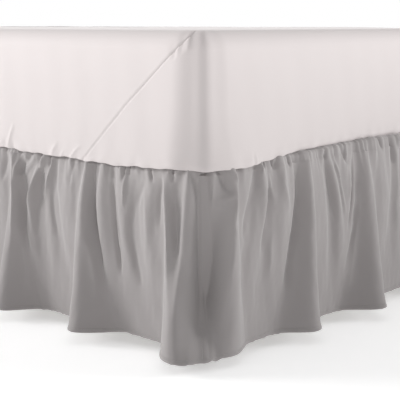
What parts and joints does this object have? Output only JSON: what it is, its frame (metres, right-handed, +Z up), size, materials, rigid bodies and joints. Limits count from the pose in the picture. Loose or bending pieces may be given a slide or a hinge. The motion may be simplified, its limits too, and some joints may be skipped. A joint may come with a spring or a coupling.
{
  "type": "bed skirt on a bed",
  "caption": "Gathered grey cloth bed skirt hanging from a platform cloth on a plain legged twin base, under a mattress in a smooth pale sheet.",
  "frame": {"origin": "on the floor under the middle of the whole thing", "axes": "+Z up, +Y toward the head of the bed, +X toward the right side seen from the foot"},
  "size_m": [1.1947, 2.0243, 0.6581],
  "materials": {
    "skirt_cloth": "matt grey brushed cloth",
    "platform_cloth": "plain thin cloth",
    "sheet_cloth": "smooth pale sheet",
    "base_cloth": "plain woven cover",
    "leg_wood": "dark stained, satin"
  },
  "bodies": {
    "root": {"skirt_left": "skirt_cloth", "skirt_foot": "skirt_cloth", "skirt_right": "skirt_cloth", "platform": "platform_cloth", "mattress": "sheet_cloth", "base": "base_cloth", "leg_left_foot": "leg_wood", "leg_left_mid": "leg_wood", "leg_left_head": "leg_wood", "leg_right_foot": "leg_wood", "leg_right_mid": "leg_wood", "leg_right_head": "leg_wood"}
  },
  "joints": []
}
